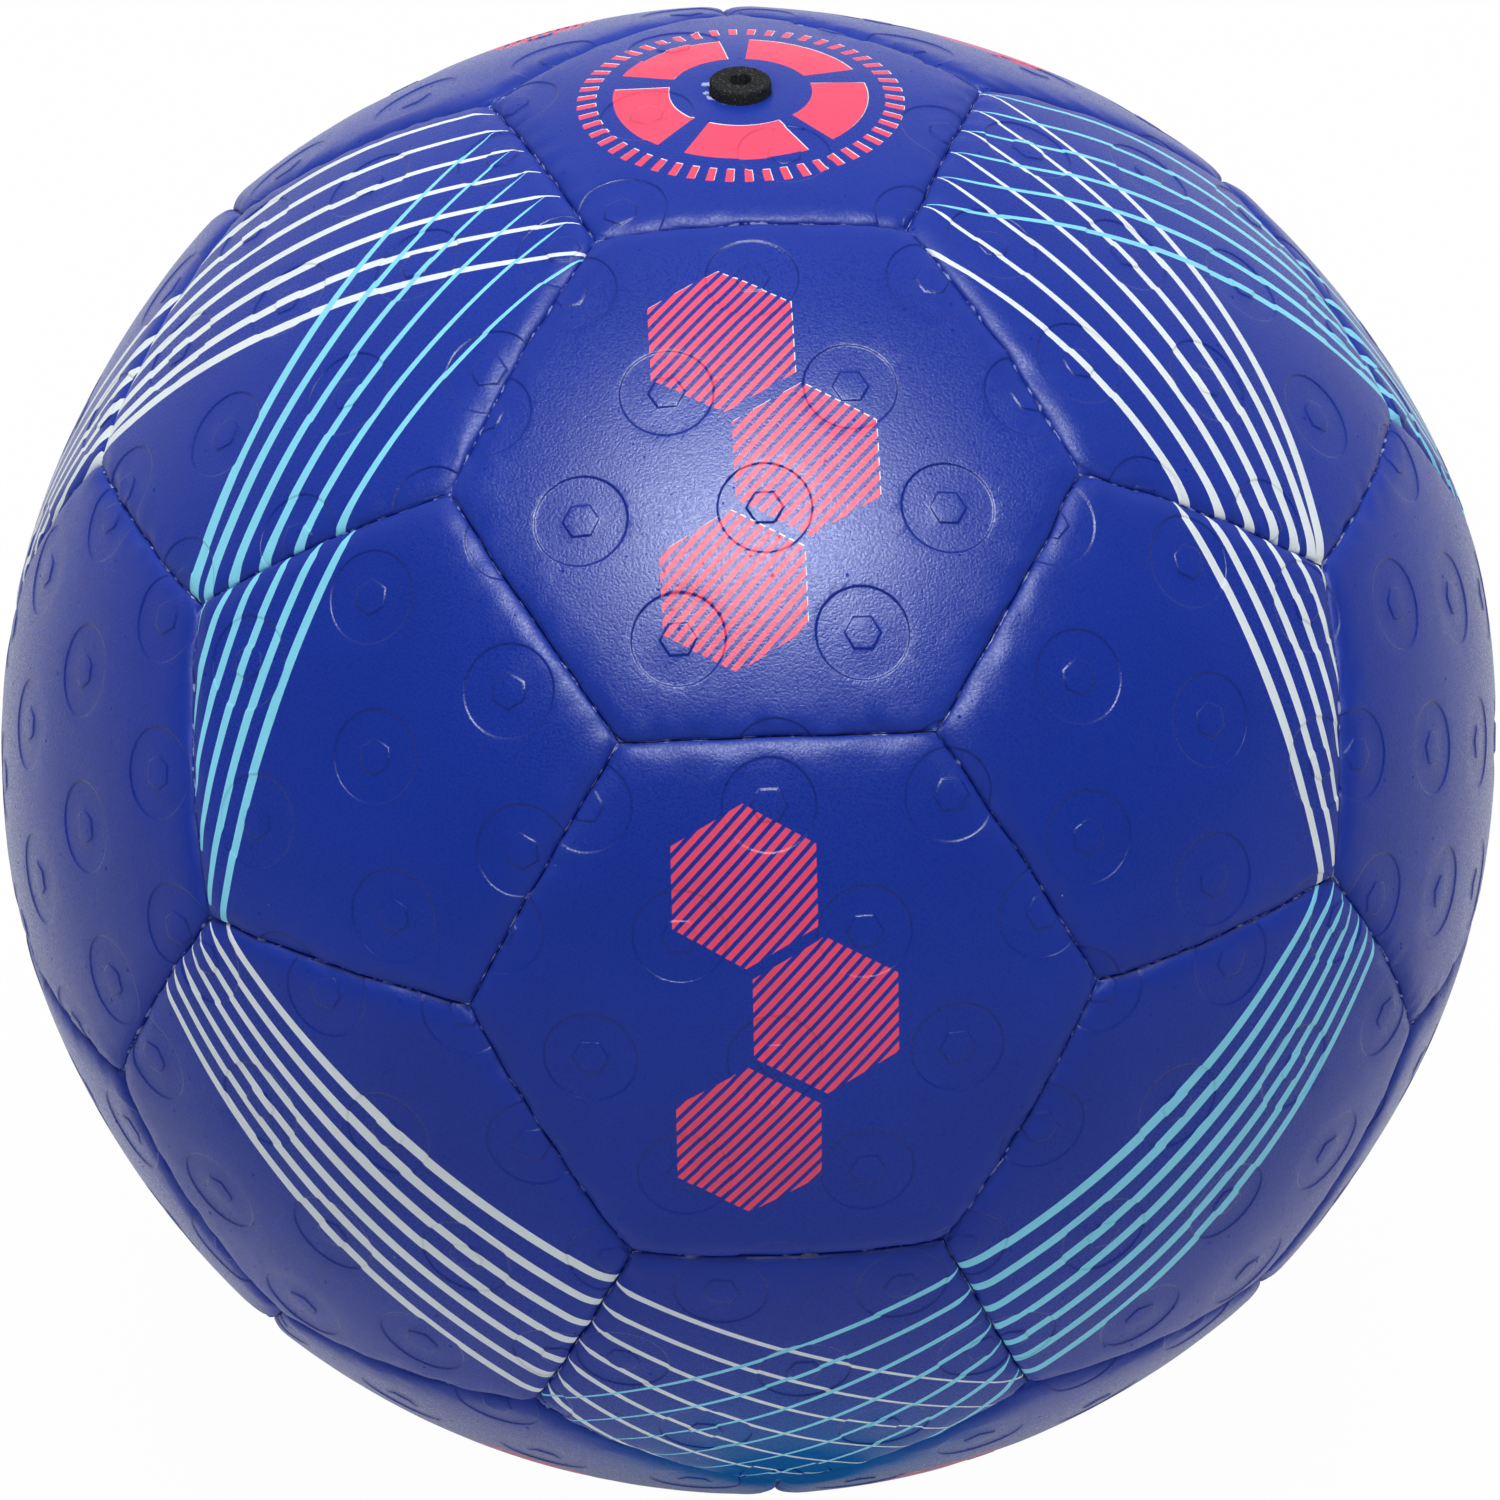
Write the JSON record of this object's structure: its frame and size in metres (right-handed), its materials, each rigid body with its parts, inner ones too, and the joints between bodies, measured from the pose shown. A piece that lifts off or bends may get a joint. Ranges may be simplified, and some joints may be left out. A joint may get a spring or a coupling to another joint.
{
  "type": "handball",
  "caption": "Sewn handball: pentagon and hexagon panels of soft synthetic leather round an air bladder, with a push-in rubber valve plug that a pump needle goes through.",
  "frame": {"origin": "middle of the ball", "axes": "+Z along the valve axis, out of the ball; -Y through the middle of the front hexagons; +X to the right seen from the front"},
  "size_m": [0.1736, 0.1746, 0.1761],
  "materials": {
    "pu_leather": "grained synthetic leather of polyurethane, printed, semi-matt",
    "waxed_thread": "waxed polyester thread",
    "latex": "smooth latex rubber",
    "black_rubber": "moulded matt rubber"
  },
  "bodies": {
    "ball": {"valve_pentagon": "pu_leather", "crown_hexagon_1": "pu_leather", "crown_hexagon_2": "pu_leather", "crown_hexagon_3": "pu_leather", "crown_hexagon_4": "pu_leather", "crown_hexagon_5": "pu_leather", "upper_pentagon_1": "pu_leather", "upper_pentagon_2": "pu_leather", "upper_pentagon_3": "pu_leather", "upper_pentagon_4": "pu_leather", "upper_pentagon_5": "pu_leather", "upper_hexagon_1": "pu_leather", "upper_hexagon_2": "pu_leather", "upper_hexagon_3": "pu_leather", "upper_hexagon_4": "pu_leather", "upper_hexagon_5": "pu_leather", "lower_hexagon_1": "pu_leather", "lower_hexagon_2": "pu_leather", "lower_hexagon_3": "pu_leather", "lower_hexagon_4": "pu_leather", "lower_hexagon_5": "pu_leather", "lower_pentagon_1": "pu_leather", "lower_pentagon_2": "pu_leather", "lower_pentagon_3": "pu_leather", "lower_pentagon_4": "pu_leather", "lower_pentagon_5": "pu_leather", "base_hexagon_1": "pu_leather", "base_hexagon_2": "pu_leather", "base_hexagon_3": "pu_leather", "base_hexagon_4": "pu_leather", "base_hexagon_5": "pu_leather", "base_pentagon": "pu_leather", "seam_thread": "waxed_thread", "bladder": "latex", "valve_housing": "black_rubber"},
    "valve_core": {"valve_core": "black_rubber"}
  },
  "joints": [
    {"name": "valve_core_pull", "type": "slide", "parent": "ball", "child": "valve_core", "axis": [0, 0, 1], "range_m": [0, 0.02]}
  ]
}
